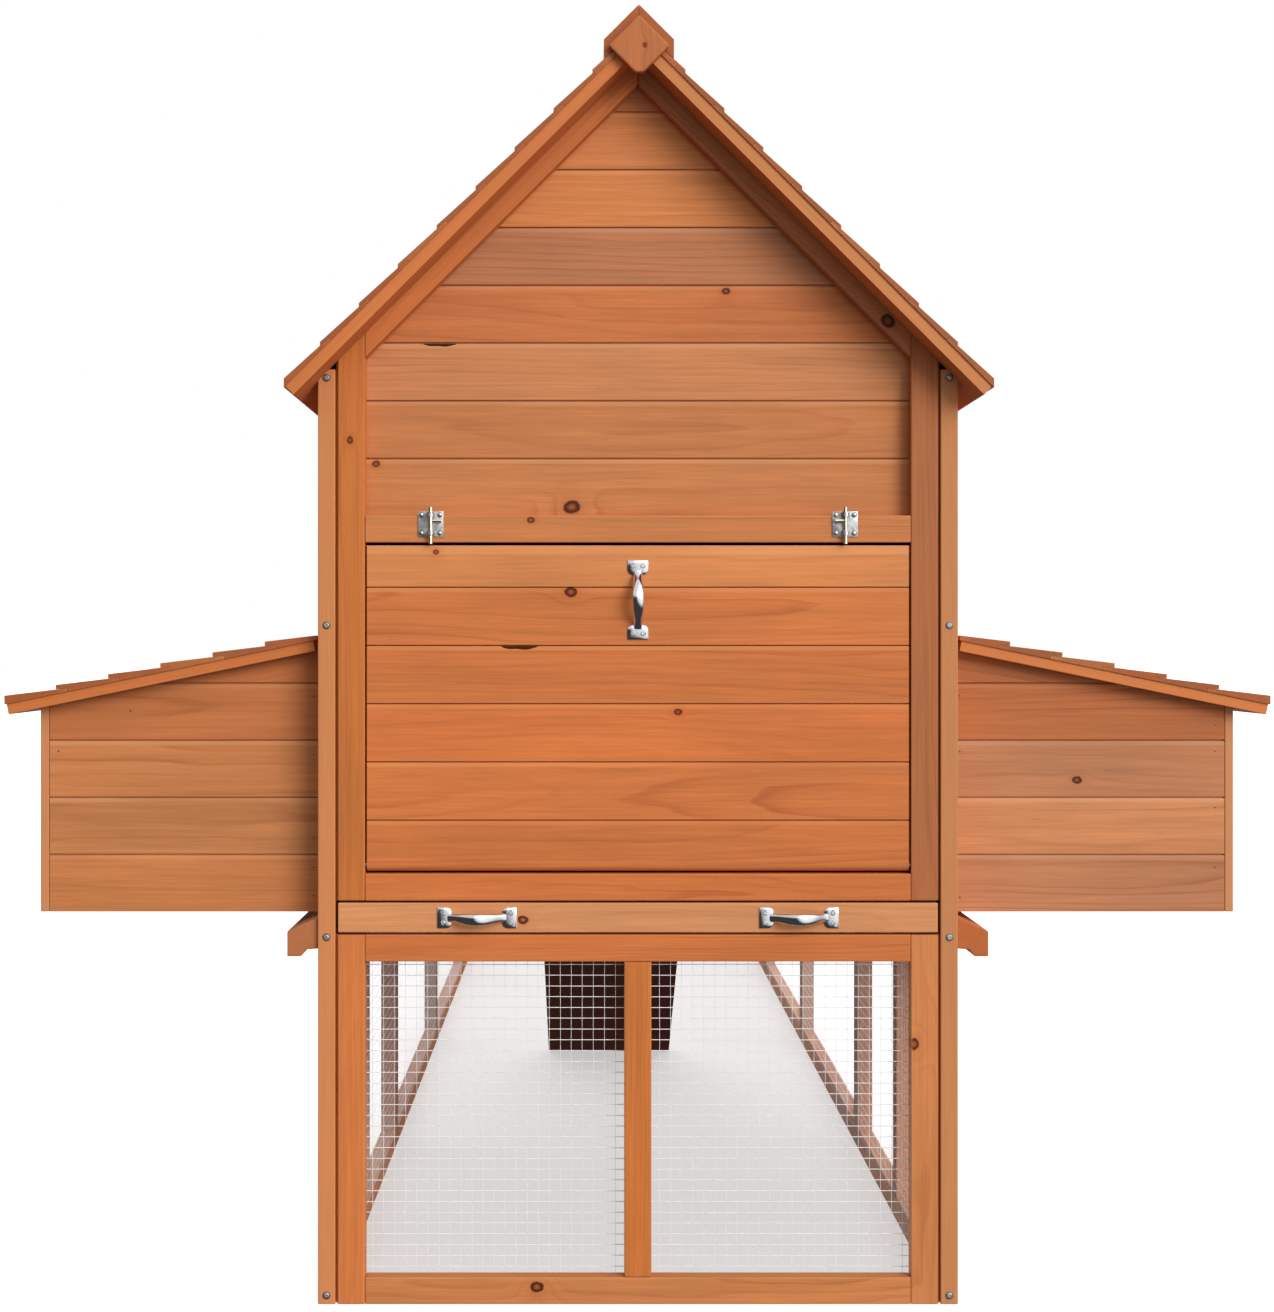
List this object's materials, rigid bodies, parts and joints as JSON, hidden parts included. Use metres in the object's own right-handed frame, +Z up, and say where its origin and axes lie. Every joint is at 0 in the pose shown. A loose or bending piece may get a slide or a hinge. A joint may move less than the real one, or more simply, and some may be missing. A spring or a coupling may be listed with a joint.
{
  "type": "chicken coop with run",
  "caption": "Wooden hen house with a steep lapped roof, side nest boxes, drop down front door and pull out tray, joined to a long wire mesh run.",
  "frame": {"origin": "middle of the footprint on the ground", "axes": "+Z up, +Y from the house end towards the far end of the run, +X to the right as seen from the house end"},
  "size_m": [1.471, 3.182, 1.4793],
  "materials": {
    "stained_fir": "thin orange brown stain over fir, matt",
    "galvanised_wire": "galvanised welded wire",
    "galvanised_sheet": "galvanised sheet",
    "chrome": "bright chrome plate",
    "zinc_steel": "bright zinc plate"
  },
  "bodies": {
    "coop": {"barge_boards": "stained_fir", "bolt_plates": "zinc_steel", "drip_rails": "stained_fir", "eave_battens": "stained_fir", "frame_screws": "zinc_steel", "front_frame": "stained_fir", "front_gable_boards": "stained_fir", "hatch_guides": "stained_fir", "left_nest_walls": "stained_fir", "left_roof_slats": "stained_fir", "left_run_frames": "stained_fir", "left_wall_frame": "stained_fir", "lid_hinge_wall_leaves": "zinc_steel", "lower_front_frame": "stained_fir", "lower_front_mesh": "galvanised_wire", "nest_corner_posts": "stained_fir", "nest_dividers": "stained_fir", "nest_floors": "stained_fir", "perch": "stained_fir", "pivot_pins": "zinc_steel", "rear_frame": "stained_fir", "rear_wall_boards": "stained_fir", "ridge_cap": "stained_fir", "ridge_end_blocks": "stained_fir", "right_nest_walls": "stained_fir", "right_roof_slats": "stained_fir", "right_run_frames": "stained_fir", "right_wall_frame": "stained_fir", "run_door_hinge_frame_leaves": "zinc_steel", "run_end_frame": "stained_fir", "run_gable_mesh": "galvanised_wire", "run_ridge_cap": "stained_fir", "run_roof_frames": "stained_fir", "run_roof_mesh": "galvanised_wire", "run_side_mesh": "galvanised_wire", "side_wall_boards": "stained_fir", "side_wall_mesh": "galvanised_wire", "tray_runners": "stained_fir"},
    "front_door": {"door_boards": "stained_fir", "door_battens": "stained_fir", "door_handle": "chrome"},
    "left_bolt_pin": {"left_bolt": "zinc_steel"},
    "right_bolt_pin": {"right_bolt": "zinc_steel"},
    "tray": {"tray_front": "stained_fir", "tray_pan": "galvanised_sheet", "tray_handles": "chrome"},
    "left_lid": {"left_lid_frame": "stained_fir", "left_lid_slats": "stained_fir", "left_lid_hinge_leaves": "zinc_steel"},
    "right_lid": {"right_lid_frame": "stained_fir", "right_lid_slats": "stained_fir", "right_lid_hinge_leaves": "zinc_steel"},
    "hatch": {"pop_hatch": "stained_fir", "hatch_knob": "stained_fir"},
    "ramp": {"ramp_board": "stained_fir", "ramp_cleats": "stained_fir"},
    "run_door": {"run_door_frame": "stained_fir", "run_door_mesh": "galvanised_wire", "run_door_hinge_leaves": "zinc_steel"},
    "run_bolt_pin": {"run_bolt": "zinc_steel"}
  },
  "joints": [
    {"name": "front_door_hinge", "type": "hinge", "parent": "coop", "child": "front_door", "pos_m": [0, -1.525, 0.5045], "axis": [1, 0, 0], "range_deg": [0, 90]},
    {"name": "left_bolt_slide", "type": "slide", "parent": "coop", "child": "left_bolt_pin", "axis": [0, 0, 1], "range_m": [-0.009, 0]},
    {"name": "right_bolt_slide", "type": "slide", "parent": "coop", "child": "right_bolt_pin", "axis": [0, 0, 1], "range_m": [-0.009, 0]},
    {"name": "tray_slide", "type": "slide", "parent": "coop", "child": "tray", "axis": [0, -1, 0], "range_m": [0, 0.56]},
    {"name": "left_lid_hinge", "type": "hinge", "parent": "coop", "child": "left_lid", "pos_m": [-0.3717, -1.1855, 0.77306], "axis": [0, 1, 0], "range_deg": [0, 85]},
    {"name": "right_lid_hinge", "type": "hinge", "parent": "coop", "child": "right_lid", "pos_m": [0.3717, -1.1855, 0.77306], "axis": [0, -1, 0], "range_deg": [0, 85]},
    {"name": "hatch_slide", "type": "slide", "parent": "coop", "child": "hatch", "axis": [0, 0, 1], "range_m": [0, 0.285]},
    {"name": "ramp_hinge", "type": "hinge", "parent": "coop", "child": "ramp", "pos_m": [0, -0.796, 0.44], "axis": [1, 0, 0], "range_deg": [0, 60]},
    {"name": "run_door_hinge", "type": "hinge", "parent": "coop", "child": "run_door", "pos_m": [-0.31225, 1.5647, 0.45], "axis": [0, 0, 1], "range_deg": [0, 110]},
    {"name": "run_bolt_slide", "type": "slide", "parent": "coop", "child": "run_bolt_pin", "axis": [-1, 0, 0], "range_m": [0, 0.009]}
  ]
}
